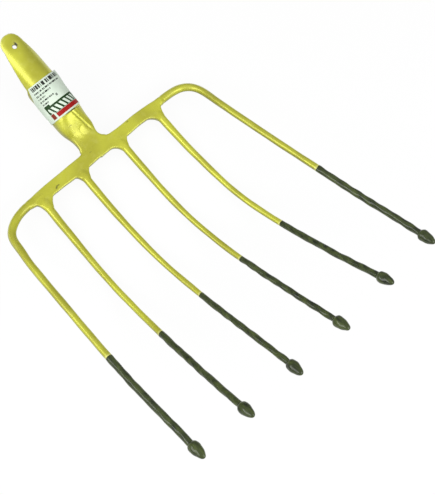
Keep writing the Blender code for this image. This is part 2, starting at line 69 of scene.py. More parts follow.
def forkToHead(points):
    # the same columns from the level fork frame
    return turned(points - np.array([0, 0, lie["headHeight"]]), lie["headSlope"]) * lie["behind"]


def ease(value, low, high):
    # smooth step from 0 at low to 1 at high
    share = np.clip((value - low) / (high - low), 0.0, 1.0)
    return share * share * (3.0 - 2.0 * share)


# Meshes

def meshFromArrays(name, points, quads, triangles=np.zeros((0, 3), int)):
    mesh = bpy.data.meshes.new(name)
    mesh.vertices.add(len(points))
    mesh.vertices.foreach_set("co", np.asarray(points, np.float32).ravel())
    corners = np.concatenate([quads.ravel(), triangles.ravel()]).astype(np.int32)
    starts = np.concatenate(
        [np.arange(len(quads)) * 4, len(quads) * 4 + np.arange(len(triangles)) * 3]
    ).astype(np.int32)
    mesh.loops.add(len(corners))
    mesh.loops.foreach_set("vertex_index", corners)
    mesh.polygons.add(len(starts))
    mesh.polygons.foreach_set("loop_start", starts)
    mesh.update(calc_edges=True)
    mesh.validate()
    mesh.polygons.foreach_set("use_smooth", np.ones(len(mesh.polygons), bool))
    return mesh


def pointsOf(mesh):
    points = np.zeros(len(mesh.vertices) * 3, np.float32)
    mesh.vertices.foreach_get("co", points)
    return points.reshape(-1, 3)


def setAttributes(mesh, **layers):
    # one value for each point, or one for all
    for name, values in layers.items():
        layer = mesh.attributes.new(name, "FLOAT", "POINT")
        values = np.zeros(len(mesh.vertices)) + values
        layer.data.foreach_set("value", values.astype(np.float32))


def addObject(name, data, place=(0, 0, 0), turn=(0, 0, 0)):
    item = bpy.data.objects.new(name, data)
    item.location = place
    item.rotation_euler = turn
    bpy.context.scene.collection.objects.link(item)
    return item


def addPiece(name, mesh, material, nodes):
    piece = addObject(name, mesh)
    mesh.materials.append(material)
    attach(piece, "root")
    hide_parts(*nodes)
    return piece


def lengthsAlong(path):
    # distance along the path at each of its points
    return np.concatenate([[0.0], np.cumsum(np.linalg.norm(np.diff(path, axis=0), axis=1))])


def blurred(columns, soften, spacing):
    # weights exp(-(d / soften)^2 / 2); each column is carried on past its ends, turned about the end value
    half = int(3 * soften / spacing)
    kernel = np.exp(-0.5 * (np.arange(-half, half + 1) * spacing / soften) ** 2)
    kernel /= kernel.sum()
    before = 2 * columns[0] - columns[1 : half + 1][::-1]
    after = 2 * columns[-1] - columns[-half - 1 : -1][::-1]
    longer = np.concatenate([before, columns, after])
    return np.stack([np.convolve(column, kernel, "valid") for column in longer.T], 1)


def smoothPath(points, spacing, soften):
    # cubic between the points by distance, evenly spaced, then blurred along its length
    points = np.asarray(points, float)
    at = lengthsAlong(points)
    slope = np.gradient(points, at, axis=0)
    reached = np.linspace(0, at[-1], int(at[-1] / spacing) + 1)
    low = np.clip(np.searchsorted(at, reached, "right") - 1, 0, len(at) - 2)
    run = (at[low + 1] - at[low])[:, None]
    t = (reached - at[low])[:, None] / run
    line = (
        points[low] * (1 + 2 * t) * (1 - t) ** 2
        + slope[low] * run * t * (1 - t) ** 2
        + points[low + 1] * t * t * (3 - 2 * t)
        + slope[low + 1] * run * t * t * (t - 1)
    )
    return blurred(line, soften, spacing)


def readTable(table, at):
    # the other columns where the first one is at, straight between the rows
    table = np.array(table, float)
    return [np.interp(at, table[:, 0], column) for column in table.T[1:]]


def smoothTable(table, soften, spacing=0.25):
    # the same table at even steps, blurred along its first column
    at = np.arange(table[0][0], table[-1][0] + spacing / 2, spacing)
    columns = np.stack(readTable(table, at), 1)
    return np.column_stack([at, blurred(columns, soften, spacing)])


def tubeAlong(path, radius):
    # ring k: path[k] + radius[k, j] (across cos a + up sin a), with a pole at each end
    count, sides = radius.shape
    tangent = np.gradient(path, axis=0)
    tangent /= np.linalg.norm(tangent, axis=1)[:, None]
    up = np.array([0, 0, 1]) - tangent * tangent[:, 2:3]
    up /= np.linalg.norm(up, axis=1)[:, None]
    across = np.cross(tangent, up)
    angle = 2 * math.pi * np.arange(sides) / sides
    out = across[:, None] * np.cos(angle)[None, :, None] + up[:, None] * np.sin(angle)[None, :, None]
    rings = path[:, None] + out * radius[:, :, None]
    points = np.concatenate([rings.reshape(-1, 3), path[:1], path[-1:]])
    row = np.arange(count - 1)[:, None] * sides
    side = np.arange(sides)[None, :]
    turn = (side + 1) % sides
    quads = np.stack([row + side, row + side + sides, row + turn + sides, row + turn], -1).reshape(-1, 4)
    first, last = count * sides, count * sides + 1
    end = (count - 1) * sides
    side, turn = side[0], turn[0]
    caps = np.concatenate([
        np.stack([np.full(sides, first), side, turn], 1),
        np.stack([np.full(sides, last), end + turn, end + side], 1),
    ])
    return points, quads, caps


def waves(seed, count, lowest, highest):
    # a sum of sines with seeded phases: a function of distance and angle
    rng = np.random.default_rng(seed)
    pace = rng.uniform(lowest, highest, count)
    lobes = rng.integers(0, 4, count)
    phase = rng.uniform(0, 2 * math.pi, count)
    size = rng.uniform(0.4, 1, count)

    def value(distance, angle):
        parts = zip(size, pace, lobes, phase)
        total = sum(a * np.sin(b * distance + c * angle + d) for a, b, c, d in parts)
        return total / math.sqrt(0.5 * (size ** 2).sum())

    return value


# Forged forms as a field of distances on a regular grid: negative inside the steel

def smoothUnion(a, b, reach):
    # the smaller of two distances, rounded where they are less than reach apart
    share = np.clip(0.5 + 0.5 * (b - a) / reach, 0, 1)
    return b + (a - b) * share - reach * share * (1 - share)


def smoothCut(a, b, reach):
    # the larger of two distances, rounded in the same way
    return -smoothUnion(-a, -b, reach)


cellCorners = np.array([[i, j, k] for i in (0, 1) for j in (0, 1) for k in (0, 1)])


def gridOf(low, high, step):
    # three arrays: x, back and height of each point, a step apart from low to past high
    counts = [int(math.ceil((b - a) / step)) + 1 for a, b in zip(low, high)]
    axes = [a + step * np.arange(n) for a, n in zip(low, counts)]
    return np.meshgrid(*axes, indexing="ij")


def sample(values, corner, step, points):
    # linear between the eight grid values round each point
    place = (points - corner) / step
    low = np.clip(np.floor(place).astype(int), 0, np.array(values.shape) - 2)
    t = place - low
    total = np.zeros(len(points))
    for away in cellCorners:
        a, b, c = np.where(away, t, 1 - t).T
        total += values[tuple((low + away).T)] * a * b * c
    return total


def skinOf(field, corner, step):
    # one vertex in each grid cell that the surface crosses, one quad for each grid edge that it crosses,
    # then every vertex moved along the slope onto the surface
    corner = np.asarray(corner, float)
    inside = field < 0
    shape = np.array(field.shape) - 1
    count = np.zeros(shape, int)
    for i, j, k in cellCorners:
        count += inside[i : i + shape[0], j : j + shape[1], k : k + shape[2]]
    cells = np.argwhere((count > 0) & (count < 8))
    values = np.stack([field[tuple((cells + away).T)] for away in cellCorners], 1)
    total = np.zeros((len(cells), 3))
    hits = np.zeros(len(cells))
    for a in range(8):
        for b in range(a + 1, 8):
            if np.abs(cellCorners[a] - cellCorners[b]).sum() == 1:
                crossed = (values[:, a] < 0) != (values[:, b] < 0)
                gap = np.where(crossed, values[:, a] - values[:, b], 1)
                t = np.where(crossed, values[:, a] / gap, 0)[:, None]
                total += crossed[:, None] * (cellCorners[a] + t * (cellCorners[b] - cellCorners[a]))
                hits += crossed
    points = corner + step * (cells + total / hits[:, None])
    slope = np.gradient(field, step)
    size = np.sqrt(sum(g * g for g in slope)) + 1e-9
    for _ in range(3):
        normal = np.stack([sample(g, corner, step, points) for g in slope], 1)
        steep = (normal ** 2).sum(1) + 1e-9
        move = (sample(field, corner, step, points) / steep)[:, None] * normal
        reach = np.linalg.norm(move, axis=1)[:, None]
        points = points - move * np.minimum(1, 0.5 * step / np.maximum(reach, 1e-9))
    bend = sum(np.gradient(g / size, step, axis=k) for k, g in enumerate(slope))
    bend = sample(bend, corner, step, points)
    number = np.full(shape, -1)
    number[tuple(cells.T)] = np.arange(len(cells))
    quads = []
    for axis in range(3):
        u, v = (axis + 1) % 3, (axis + 2) % 3
        first = np.moveaxis(inside, axis, 0)
        crossed = np.moveaxis(first[:-1] != first[1:], 0, axis)
        edge = np.argwhere(crossed)
        edge = edge[(edge[:, u] > 0) & (edge[:, v] > 0) & (edge[:, u] < shape[u]) & (edge[:, v] < shape[v])]
        out = inside[tuple(edge.T)]
        ring = []
        for du, dv in ((-1, -1), (0, -1), (0, 0), (-1, 0)):
            cell = edge.copy()
            cell[:, u] += du
            cell[:, v] += dv
            ring.append(number[tuple(cell.T)])
        ring = np.stack(ring, 1)
        ring[~out] = ring[~out][:, ::-1]
        quads.append(ring)
    return points, np.concatenate(quads), bend


def trimMesh(mesh, planes):
    # cut flat at each plane, leave out what lies beyond, and close the cut with a flat face
    form = bmesh.new()
    form.from_mesh(mesh)
    for point, normal in planes:
        everything = form.verts[:] + form.edges[:] + form.faces[:]
        cut = bmesh.ops.bisect_plane(
            form, geom=everything, dist=1e-5, plane_co=point, plane_no=normal, clear_outer=True
        )["geom_cut"]
        rim = [item for item in cut if isinstance(item, bmesh.types.BMEdge)]
        closed = bmesh.ops.edgeloop_fill(form, edges=rim)["faces"]
        for item in [*rim, *closed]:
            item.smooth = False
    bmesh.ops.recalc_face_normals(form, faces=form.faces[:])
    form.to_mesh(mesh)
    form.free()


def faceOutward(mesh):
    # the signed volume, a sixth of the sum of a . (b x c), is positive when the faces point outwards
    mesh.calc_loop_triangles()
    corners = np.zeros(len(mesh.loop_triangles) * 3, np.int32)
    mesh.loop_triangles.foreach_get("vertices", corners)
    points = pointsOf(mesh)
    points = points - points.mean(0)
    a, b, c = points[corners].reshape(-1, 3, 3).swapaxes(0, 1)
    if np.einsum("ij,ij->i", a, np.cross(b, c)).sum() < 0:
        mesh.flip_normals()


# Tines: centre lines in the level fork frame, in millimetres, and their thickness

tines = {
    "spacing": 1.5,
    "sides": 32,
    # the dished tines: distance in front of the crossbar, height, and distance from the middle on each side
    "forward": [0, 15, 30, 45, 60, 75, 90, 115, 140, 165, 190, 215, 240, 265, 290, 315, 330, 340, 350.7],
    "height": {
        "inner": [
            -5, -11.1, -17.1, -23.2, -28.6, -33.1, -36.7, -40.7, -42.3, -41.6, -38.6, -33.2, -27, -20.7,
            -14.5, -8.3, -4.5, -2, 0.6,
        ],
        "middle": [
            -5, -11.1, -17.1, -23.2, -28.5, -32.9, -36.5, -40.5, -42.1, -41.5, -38.6, -33.1, -25.3, -16.7,
            -8.2, 0.3, 5.4, 8.8, 12.4,
        ],
    },
    "away": {
        ("inner", "right"): [
            29.6, 29.8, 30.3, 30.4, 30.6, 30.7, 30.9, 31.3, 31.6, 31.6, 31.5, 32.2, 32.6, 32.7, 32.9, 33.1,
            33.3, 33.7, 34.4,
        ],
        ("inner", "left"): [
            29.6, 29.6, 29.5, 29.5, 29.5, 29.4, 29.1, 28.9, 29.3, 29.9, 30.2, 30.8, 31.3, 32, 32.8, 34,
            34.8, 35.1, 35.3,
        ],
        ("middle", "right"): [
            84, 84.7, 85.6, 86, 86.5, 87.2, 88, 89.4, 90.5, 91.5, 92.7, 94.3, 96.2, 98, 99.9, 101.2,
            102, 102.4, 102.8,
        ],
        ("middle", "left"): [
            87, 87.2, 87.4, 87.9, 88.5, 89.2, 89.5, 89.7, 90.5, 92.2, 93.9, 95.2, 95.9, 96.3, 97.1, 98.7,
            99.6, 100.1, 100.7,
        ],
    },
    # the outer tines: distance from the middle and in front of the crossbar
    "outer": {
        "right": [
            (80, 2.1), (90, 2.2), (98, 2.3), (104, 2.5), (109, 3.2), (114, 4.2), (118.5, 5.5), (123, 7.5),
            (127.6, 10.1), (131.4, 12.8), (134.6, 15.8), (137, 18.9), (139, 22.6), (140.3, 26.4),
            (141.2, 30.5), (142, 35.5), (142.8, 41), (143.9, 48), (145.6, 58), (147.5, 75),
            (148.8, 90), (150.9, 115), (152.9, 140), (155, 165), (157, 190), (158.8, 215), (160.4, 240),
            (161.6, 265), (162.6, 290), (163.5, 315), (164.2, 333), (164.7, 347.6),
        ],
        "left": [
            (80, -2.1), (90, -2.2), (98, -2.4), (104, -2.7), (111, -2.8), (117, -2.5), (122.5, -1.9),
            (127.5, -0.9), (131.7, 0.8), (135.6, 3.3), (139, 6.4), (141.7, 10.2), (143.6, 15),
            (144.8, 20.2), (145.4, 26), (145.6, 32), (145.7, 38), (145.8, 45), (146.6, 60), (147.7, 75),
            (149, 90), (151.3, 115), (153.7, 140), (156.1, 165), (158.1, 190), (159.7, 215), (161.2, 240),
            (162.6, 265), (164.1, 290), (165.1, 315), (165.7, 333), (166, 350.7),
        ],
    },
    # rise of the outer tines: up through the corner, then a slow curve upwards
    "armHeight": -5,
    "cornerRise": 2.8,
    "cornerRun": 60,
    "liftStart": 154,
    "liftRun": 110,
    "liftRadius": 900,
    "soften": {"inner": 7, "middle": 7, "outer": 4},
    "rootBack": 3,  # how far behind the middle line a dished tine's line starts
    # distance from the start of the line, and diameter there
    "thickness": {
        "inner": [(0, 9.8), (20, 9.3), (45, 8.3), (80, 7.5), (125, 6.9), (180, 6.6), (370, 6.5)],
        "middle": [(0, 10), (20, 9.6), (45, 8.6), (80, 7.7), (125, 7.2), (180, 7), (370, 6.9)],
        "outer": [(0, 9.2), (20, 9.7), (45, 9.8), (70, 8.9), (100, 8.2), (200, 7.8), (420, 7.4)],
    },
    # where the dark paint starts, back from the tip, for the right and the left tine
    "paintLine": {"inner": (152.7, 154.1), "middle": (152.1, 157.8), "outer": (146.3, 158.4)},
    "waver": 0.07,  # uneven forging, in millimetres
    "paintWaver": 0.14,
    "paintThickness": 0.12,
    "paintStep": (-0.6, 0.9),  # the paint reaches it over this length
    "squareness": 0.035,  # flats left by the hammer
    "flats": (4, 22, 60, 150),  # they rise over the first two distances and fade over the others
    # painted shade that darkens the lacquer of the right and the left tine
    "shadeAndGrime": {"inner": (0.02, 0.12), "middle": (0, 0), "outer": (0.1, 0.16)},
    "slim": (0.2, 2.6),  # thinner inside the forging: by how much, and over what length
    "swell": (0.06, 4, 16),  # then proud of its cut end: by how much, and where that fades
    "crossbarCut": 21.5,  # the dished tines leave the crossbar this far in front
    "armCut": 104,
    "overlap": 3,  # how far a tine starts inside the forging, and ends inside its bud
    "intoBud": 2,
}

buds = {
    "length": 20.5,
    "radius": 6.4,
    "sides": 36,
    "uneven": 0.022,
    "crowding": 1.35,  # how much closer the rings lie towards the tip
    # share of the length from the neck, and share of the radius
    "profile": [
        (0, 0.55), (0.02, 0.6), (0.05, 0.73), (0.1, 0.88), (0.17, 0.965), (0.26, 1), (0.38, 0.985),
        (0.52, 0.91), (0.66, 0.79), (0.78, 0.66), (0.88, 0.51), (0.94, 0.39), (0.975, 0.27), (0.993, 0.15),
        (1, 0),
    ],
}


def tinePath(kind, side):
    # the listed places, joined by a smooth line
    if kind == "outer":
        away, forward = np.array(tines["outer"][side], float).T
        # smooth step up through the corner, then y^2 / (2 r) and straight on
        bent = np.clip(forward - tines["liftStart"], 0, tines["liftRun"])
        beyond = np.maximum(forward - tines["liftStart"] - tines["liftRun"], 0)
        height = tines["armHeight"] + tines["cornerRise"] * ease(forward, 0, tines["cornerRun"])
        height = height + (bent ** 2 / 2 + beyond * tines["liftRun"]) / tines["liftRadius"]
        points = np.stack([away, forward, height], 1)
    else:
        points = np.stack([tines["away"][kind, side], tines["forward"], tines["height"][kind]], 1)
        slope = math.radians(lie["headSlope"])
        back = tines["rootBack"]
        start = (points[0, 0], -back * math.cos(slope), lie["headHeight"] + back * math.sin(slope))
        points = np.concatenate([[start], points])
    path = smoothPath(points, tines["spacing"], tines["soften"][kind])
    path[:, 0] *= sides[side]
    return path


def tineRadius(kind, reached):
    # half the listed diameter
    return 0.5 * readTable(tines["thickness"][kind], reached)[0]


sides = {"right": 1, "left": -1}
paths = {(kind, side): tinePath(kind, side) for kind in ("inner", "middle", "outer") for side in sides}


# Crossbar: edges by x, as distance behind and in front of the middle line

forgingStep = 0.65  # the grid that both forgings share
neckCut = 14.3  # the socket takes over here, behind the middle line

crossbar = {
    "halfThickness": 3.6,
    "edgeRound": 1.8,
    "back": [
        (-106, 4.4), (-99, 6), (-94, 6.8), (-84, 7.6), (-72, 8.1), (-60, 8.3), (-48, 7.7), (-36, 7.3),
        (-24, 7.7), (0, 7.8), (16, 7.4), (22, 6.9), (38, 6.5), (50, 5.8), (62, 5.4), (74, 4.9), (86, 4),
        (94, 2.9), (99, 1.8), (106, 0),
    ],
    "front": [
        (-106, 0), (-99, 1.7), (-94, 3.2), (-86, 5.6), (-72, 6.2), (-60, 5.9), (-50, 6.6), (-42, 7.2),
        (-30, 7.3), (-12, 6.9), (0, 7.7), (12, 8.5), (20, 9.1), (30, 9.7), (44, 9.8), (56, 9.5),
        (68, 9.9), (76, 9.8), (88, 8.9), (94, 8.2), (99, 6.8), (106, 4.6),
    ],
    "soften": 2,
    "webPower": 1.7,
    "webRead": 12,  # where a tine's place beside its webs is read, in front of the middle line
    # webs beside each dished tine, towards the middle and away from it: how wide, and how far they climb
    "webs": {
        ("inner", "right"): ((7, 8.5), (5, 6)),
        ("inner", "left"): ((9.5, 8), (6, 8)),
        ("middle", "right"): ((9, 10), (4.5, 7.5)),
        ("middle", "left"): ((11, 8), (4.5, 8)),
    },
    # dark marks on top of the bar, as strokes: from (x, back) to (x, back), half width
    "marks": [
        ((64.6, -6), (62.4, -4.3), 0.8), ((62.4, -4.3), (59.6, -4.4), 0.6), ((-51.5, 5.9), (-49.5, 5.4), 0.5),
    ],
    "plateEnd": 106,
    "neckHalf": (14.7, 13.4),  # on the left and on the right
    "neckFillet": (12.5, 7),
    "neckFront": 2,
    "neckEnd": 34,
    # a strip of plate runs out under each stub: share of its radius, how much it narrows, and where
    "strip": (0.5, 5, (8, 14)),
    "stripStart": -3,
    "stripBlend": 2,
    # how the round stubs grow out of the bar, by the distance in front of its middle line
    "stub": {
        "start": 1, "radius": 3.4, "growth": 0.15, "growsFrom": 4, "read": 45,
        "blend": (0.4, 3.2), "blendOver": (5, 12),
    },
    # the same for the round arms, by the distance from the middle of the fork
    "arm": {
        "start": 82, "radius": 3.1, "growth": 0.2, "growsFrom": 92, "read": 114,
        "blend": (0.3, 3.5), "blendOver": (84, 97), "fadeOver": (99, 103.5),
    },
}


def roundedSlab(plan, height, halfThickness, edgeRound):
    # plan distance and height joined with a rounded edge
    a = plan + edgeRound
    b = np.abs(height) - halfThickness + edgeRound
    return np.hypot(np.maximum(a, 0), np.maximum(b, 0)) + np.minimum(np.maximum(a, b), 0) - edgeRound


def frontReach():
    # the bar's front edge, and beside each tine climb (1 - d / wide)^power at a distance d from its side
    at = np.arange(-110, 110.01, 0.25)
    base = readTable(smoothTable(crossbar["front"], crossbar["soften"]), at)[0]
    reach = base.copy()
    for (kind, side), webs in crossbar["webs"].items():
        path = paths[kind, side]
        line = forkToHead(path)
        row = int(np.argmin(np.abs(line[:, 1] + crossbar["webRead"])))
        radius = tineRadius(kind, lengthsAlong(path)[row])
        away = (at - line[row, 0]) * sides[side]
        for sign, (wide, climb) in zip((-1, 1), webs):
            beside = np.maximum(away * sign - radius, 0)
            web = climb * np.clip(1 - beside / wide, 0, 1) ** crossbar["webPower"]
            reach = np.maximum(reach, np.where(away * sign > 0, base + web, 0))
    kernel = np.exp(-0.5 * (np.arange(-8, 9) * 0.25 / 0.6) ** 2)
    reach = np.convolve(np.pad(reach, 8, "edge"), kernel / kernel.sum(), "valid")
    return at, reach, np.gradient(reach, 0.25)


def grownRod(form, distance, aside, rise, radius):
    # a rod whose radius is radius + growth (distance - growsFrom) up to the tine's own, with a round start
    grown = form["radius"] + form["growth"] * np.maximum(distance - form["growsFrom"], 0)
    beyond = np.maximum(form["start"] - distance, 0)
    return np.sqrt(aside ** 2 + rise ** 2 + beyond ** 2) - np.minimum(radius, grown)


def blendAlong(form, distance):
    # how softly a rod runs into the bar: low + (high - low) ease(distance)
    low, high = form["blend"]
    return low + (high - low) * ease(distance, *form["blendOver"])


def barForm(x, back, height):
    # plan of the bar, webs and neck as a plate with rounded edges; the round stubs and arms grow out of it
    rear = readTable(smoothTable(crossbar["back"], crossbar["soften"]), x)[0]
    at, reach, slope = frontReach()
    ahead = (-back - np.interp(x, at, reach)) / np.sqrt(1 + np.interp(x, at, slope) ** 2)
    bar = np.maximum(np.maximum(ahead, back - rear), np.abs(x) - crossbar["plateEnd"])
    neckHalf, fillet = (np.where(x < 0, *crossbar[k]) for k in ("neckHalf", "neckFillet"))
    neck = np.maximum(-back - crossbar["neckFront"], back - crossbar["neckEnd"])
    neck = np.maximum(np.abs(x) - neckHalf, neck)
    plan = smoothUnion(bar, neck, fillet)
    stub, arm = crossbar["stub"], crossbar["arm"]
    stripShare, stripNarrows, stripOver = crossbar["strip"]
    rods = []
    for (kind, side), path in paths.items():
        if kind == "outer":
            continue
        line = forkToHead(path)
        rows = np.argsort(line[:, 1])
        rows = rows[line[rows, 1] > -stub["read"]]
        columns = lengthsAlong(path)[rows], line[rows, 0], line[rows, 2]
        reached, middleX, middleZ = (np.interp(back, line[rows, 1], column) for column in columns)
        radius = tineRadius(kind, reached)
        strip = np.abs(x - middleX) - radius * stripShare + stripNarrows * ease(-back, *stripOver)
        plan = smoothUnion(plan, np.maximum(strip, back - crossbar["stripStart"]), crossbar["stripBlend"])
        rods.append(grownRod(stub, -back, x - middleX, height - middleZ, radius))
    solid = roundedSlab(plan, height, crossbar["halfThickness"], crossbar["edgeRound"])
    for rod in rods:
        solid = smoothUnion(solid, rod, blendAlong(stub, -back))
    for side, sign in sides.items():
        path = paths["outer", side]
        line = forkToHead(path)
        rows = np.abs(line[:, 0]) < arm["read"]
        at = np.abs(line[rows, 0])
        away = x * sign
        columns = lengthsAlong(path)[rows], line[rows, 1], line[rows, 2]
        reached, middleBack, middleZ = (np.interp(away, at, column) for column in columns)
        radius = tineRadius("outer", reached)
        rod = grownRod(arm, away, back - middleBack, height - middleZ, radius)
        solid = smoothUnion(solid, rod, blendAlong(arm, away) * (1 - 0.97 * ease(away, *arm["fadeOver"])))
    return solid


# Socket: flat neck, shoulder, rolled cone, wings and tongue

socket = {
    "axisHeight": 4.7,
    "radius": 19.9,
    "wall": 2.5,
    "seat": 50,
    "seamHalf": 2.5,
    "seamStart": 53.5,
    "formStart": 12,
    "soften": 2.2,
    "formBlend": 5,
    # distance behind the middle line, half width on the left (-x) and on the right, top, bottom, squareness
    "sections": [
        (10, 10.4, 9.8, 0.8, -0.4, 3), (15, 11.4, 10.6, 2.6, -1.4, 3),
        (19, 13.6, 12.1, 4.3, -2.8, 3), (24, 15.9, 13.5, 6.8, -4.6, 2.9),
        (28, 17.5, 15.2, 8.8, -6.2, 2.8), (32, 18.1, 17, 11.4, -7.9, 2.6),
        (36, 17.9, 18.4, 14.1, -9.7, 2.4), (40, 17.8, 19.2, 16.8, -11.4, 2.25),
        (44, 18, 19.6, 19.4, -13, 2.1), (48, 18.5, 19.7, 21.7, -14.2, 2.05),
        (53, 19.1, 19.8, 23.7, -14.9, 2), (60, 19.5, 19.7, 24.4, -15, 2),
        (92, 19.9, 19.9, 24.6, -15.2, 2), (165, 20, 20, 24.7, -15.3, 2),
    ],
    # tongue: distance behind the middle line, half width on the left and on the right
    "tongue": [
        (99, 19.8, 19.3), (105.5, 19.7, 19.1), (111, 19.6, 18.7), (116, 19.4, 18.2), (124, 18.9, 17.3),
        (132, 17.7, 16.2), (140, 16, 15), (147, 14.4, 13.7),
    ],
    "tongueEnd": 161.5,
    "noseStart": 146.5,
    "nosePower": (2.2, 2.6),  # on the left and on the right
    "wingTop": (81.5, 88),  # on the left and on the right
    "wingShoulder": (105.5, 99.5),
    "wingLow": -21,
    "wingPower": (0.77, 0.8),  # how early each wing climbs, on the left and on the right
    "nailHole": (0.5, 144.5, 2.4),  # x, back, radius
    "dent": (0.7, 4.4),  # the steel is pressed in round the nail hole: how deep, and how wide
    # mark that the punch left beside it: x, back, depth, half width, half length
    "pit": (-2.7, 146.3, 1.5, 1.15, 2.2),
    "edgeRound": 0.7,
    "boreRound": 0.8,
    "holeRound": 0.6,
    # folds left on the shoulder by rolling: from (x, back) to (x, back), how deep, how wide
    "folds": [
        ((-1.5, 51), (-12.5, 19), 0.75, 1.3), ((-6.5, 50), (-15, 27), 0.5, 1.2),
        ((3.5, 51), (-2.5, 38), 0.12, 2.2), ((6, 23), (2.5, 18.5), 0.14, 1.3),
    ],
    # a ring-shaped boss: x, back, radius, depth, half width, where the hollow inside starts, and its share
    "ring": (-3.2, 26.6, 4.7, 0.2, 1.1, 3.8, 0.7),
}


def socketSkin(x, back, height):
    # section by section: ((x / w)^p + ((z - c) / h)^p)^(1/p) - 1, made a distance by its slope
    table = smoothTable(socket["sections"], socket["soften"])
    left, right, top, bottom, power = readTable(table, back)
    width = np.where(x < 0, left, right)
    middle = (top + bottom) / 2
    tall = (top - bottom) / 2
    u = np.abs(x) / width
    v = np.abs(height - middle) / tall
    ring = (u ** power + v ** power + 1e-12) ** (1 / power)
    slopeX = (u / ring) ** (power - 1) / width
    slopeZ = (v / ring) ** (power - 1) / tall
    return (ring - 1) / np.maximum(np.hypot(slopeX, slopeZ), 0.02)


def inPit(x, back):
    # exp(-(x / half)^2 - (back / length)^2) from the pit's middle
    pitX, pitBack, _, half, length = socket["pit"]
    return np.exp(-(((x - pitX) / half) ** 2) - ((back - pitBack) / length) ** 2)


def socketForm(x, back, height):
    # the skin with its folds, boss and pit, less the bore, the open underside, the seam and the nail hole
    holeX, holeBack, holeRadius = socket["nailHole"]
    deep, wide = socket["dent"]
    fromHole = np.hypot(x - holeX, back - holeBack)
    pressed = height + deep * np.exp(-((fromHole / wide) ** 2)) * (height > socket["axisHeight"])
    solid = socketSkin(x, back, pressed)
    # each fold is a groove: depth * exp(-(distance from its line / width)^2)
    for start, end, depth, half in socket["folds"]:
        start, run = np.array(start), np.array(end) - np.array(start)
        along = ((x - start[0]) * run[0] + (back - start[1]) * run[1]) / (run @ run)
        aside = ((x - start[0]) * run[1] - (back - start[1]) * run[0]) / math.sqrt(run @ run)
        fade = ease(along, -0.15, 0.15) * (1 - ease(along, 0.75, 1.1)) * (height > 0)
        solid = solid + depth * fade * np.exp(-((aside / half) ** 2))
    ringX, ringBack, ringRadius, depth, half, dome, share = socket["ring"]
    fromRing = np.hypot(x - ringX, (back - ringBack) * 0.9)
    boss = np.exp(-(((fromRing - ringRadius) / half) ** 2)) - share * ease(-fromRing, -dome, 0)
    solid = solid + depth * boss * (height > 0)
    solid = solid + socket["pit"][2] * inPit(x, back) * (height > socket["axisHeight"] + 16)
    rise = pressed - socket["axisHeight"]
    bore = np.maximum(np.hypot(x, rise) - (socket["radius"] - socket["wall"]), socket["seat"] - back)
    solid = smoothCut(solid, -bore, socket["boreRound"])
    # what lies under the tongue's edges and behind the wings is cut away
    half = np.where(x < 0, *readTable(socket["tongue"], back))
    into = np.clip((back - socket["noseStart"]) / (socket["tongueEnd"] - socket["noseStart"]), 0, 1)
    power = np.where(x < 0, *socket["nosePower"])
    half = half * (1 - into ** power) ** (1 / power)
    edge = np.sqrt(np.maximum((socket["radius"] + 0.05) ** 2 - half ** 2, 0))
    top = np.where(x < 0, *socket["wingTop"])
    shoulder = np.where(x < 0, *socket["wingShoulder"])
    share = np.clip((back - top) / (shoulder - top), 0, 1)
    early, late = socket["wingPower"]
    climb = np.where(x < 0, np.sqrt(1 - (1 - share ** early) ** 2), share ** late)
    wing = socket["wingLow"] + (edge - socket["wingLow"]) * climb
    limit = np.where(back < shoulder, wing, edge)
    limit = np.where(back < top, -60, limit)  # below the whole cone
    solid = smoothCut(solid, (limit - rise) * 0.8, socket["edgeRound"])
    solid = smoothCut(solid, back - socket["tongueEnd"], socket["edgeRound"])
    seam = np.maximum(np.abs(x) - socket["seamHalf"], np.maximum(rise, socket["seamStart"] - back))
    solid = smoothCut(solid, -seam, socket["edgeRound"])
    hole = np.maximum(fromHole - holeRadius, -rise)
    return smoothCut(solid, -hole, socket["holeRound"])


def forgedSteel(x, back, height):
    # the bar's form joined to the socket's, which starts inside the neck
    cone = np.maximum(socketForm(x, back, height), socket["formStart"] - back)
    near = back[0, :, 0] < crossbar["neckEnd"] + 6
    bar = barForm(x[:, near], back[:, near], height[:, near])
    cone[:, near] = smoothUnion(bar, cone[:, near], socket["formBlend"])
    return cone


# Finishes

def fill(node, slots):
    # a socket is linked, a number, a vector or a colour is set
    for key, value in slots.items():
        slot = node.inputs[key]
        if isinstance(value, bpy.types.NodeSocket):
            node.id_data.links.new(value, slot)
        else:
            slot.default_value = (*value, 1) if slot.type == "RGBA" else value


def addNode(tree, kind, slots={}, **settings):
    node = tree.nodes.new("ShaderNode" + kind)
    for key, value in settings.items():
        setattr(node, key, value)
    fill(node, slots)
    return node


def newFinish(name):
    material = bpy.data.materials.new(name)
    material.use_nodes = True
    tree = material.node_tree
    return material, tree, tree.nodes["Principled BSDF"]


def readAttribute(tree, name):
    return addNode(tree, "Attribute", attribute_name=name).outputs["Fac"]


# these add their node to the tree of the first socket

def noise(place, scale, detail=3, roughness=0.5):
    return addNode(place.id_data, "TexNoise", {
        "Vector": place, "Scale": scale, "Detail": detail, "Roughness": roughness,
    }).outputs["Fac"]


def mathOf(operation, a, b=0, clamp=False):
    return addNode(a.id_data, "Math", {0: a, 1: b}, operation=operation, use_clamp=clamp).outputs[0]


def times(a, b):
    return mathOf("MULTIPLY", a, b)


def plus(a, b, clamp=False):
    return mathOf("ADD", a, b, clamp)


def spread(value, low, high, toLow=0, toHigh=1):
    # low to high carried to toLow to toHigh, and held there beyond
    return addNode(value.id_data, "MapRange", {
        "Value": value, "From Min": low, "From Max": high, "To Min": toLow, "To Max": toHigh,
    }).outputs["Result"]


def mixColour(share, a, b):
    # a (1 - share) + b share
    return addNode(share.id_data, "Mix", {0: share, 6: a, 7: b}, data_type="RGBA").outputs[2]


def mixValue(share, a, b):
    return addNode(share.id_data, "Mix", {0: share, 2: a, 3: b}, data_type="FLOAT").outputs[0]


